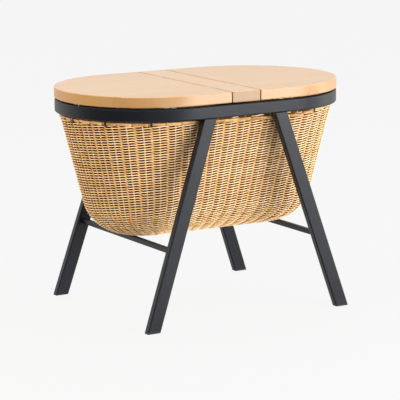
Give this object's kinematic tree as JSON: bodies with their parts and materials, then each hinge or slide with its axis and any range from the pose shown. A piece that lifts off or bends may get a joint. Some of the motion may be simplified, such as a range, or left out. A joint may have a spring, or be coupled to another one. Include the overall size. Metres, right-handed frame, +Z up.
{
  "type": "storage stool",
  "caption": "Oval storage stool: splayed steel frame with a rim hoop, a hanging woven rattan basket, and a wooden seat whose end lids hinge up on a fixed middle board.",
  "frame": {"origin": "centre of the footprint, on the floor", "axes": "+Z up, +X along the seat's long side towards the right lid, -Y towards the side seen in the picture"},
  "size_m": [0.594, 0.4024, 0.45],
  "materials": {
    "powder_coat": "charcoal powder coat, fine matt grain",
    "teak": "sanded pale teak, unfilled straight grain",
    "rattan": "natural woven rattan core, matt",
    "clip": "black strap",
    "glide": "black moulded plastic",
    "bumper": "clear silicone pad",
    "hinge_steel": "plain stainless leaf",
    "screw_steel": "stainless screw"
  },
  "bodies": {
    "stool_frame": {"basket_base": "rattan", "basket_border": "rattan", "basket_clips": "clip", "basket_wall": "rattan", "centre_crossbar": "powder_coat", "centre_strip": "teak", "foot_glides": "glide", "hinge_left_back_fixed_leaf": "hinge_steel", "hinge_left_back_pin": "hinge_steel", "hinge_left_front_fixed_leaf": "hinge_steel", "hinge_left_front_pin": "hinge_steel", "hinge_right_back_fixed_leaf": "hinge_steel", "hinge_right_back_pin": "hinge_steel", "hinge_right_front_fixed_leaf": "hinge_steel", "hinge_right_front_pin": "hinge_steel", "hinge_screws_strip": "screw_steel", "leg_back_left": "powder_coat", "leg_back_right": "powder_coat", "leg_front_left": "powder_coat", "leg_front_right": "powder_coat", "rim_bumpers": "bumper", "rim_hoop": "powder_coat", "stretcher_left": "powder_coat", "stretcher_right": "powder_coat", "strip_screws": "screw_steel", "strip_spacers": "glide"},
    "left_lid": {"hinge_left_back_moving_leaf": "hinge_steel", "hinge_left_front_moving_leaf": "hinge_steel", "hinge_screws_lid_left": "screw_steel", "lid_left": "teak", "lid_left_batten_inner": "teak", "lid_left_batten_outer": "teak", "lid_left_batten_screws": "screw_steel"},
    "right_lid": {"hinge_right_back_moving_leaf": "hinge_steel", "hinge_right_front_moving_leaf": "hinge_steel", "hinge_screws_lid_right": "screw_steel", "lid_right": "teak", "lid_right_batten_inner": "teak", "lid_right_batten_outer": "teak", "lid_right_batten_screws": "screw_steel"}
  },
  "joints": [
    {"name": "left_lid_hinge", "type": "hinge", "parent": "stool_frame", "child": "left_lid", "pos_m": [-0.032, 0, 0.4476], "axis": [0, 1, 0], "range_deg": [0, 95]},
    {"name": "right_lid_hinge", "type": "hinge", "parent": "stool_frame", "child": "right_lid", "pos_m": [0.032, 0, 0.4476], "axis": [0, -1, 0], "range_deg": [0, 95]}
  ]
}
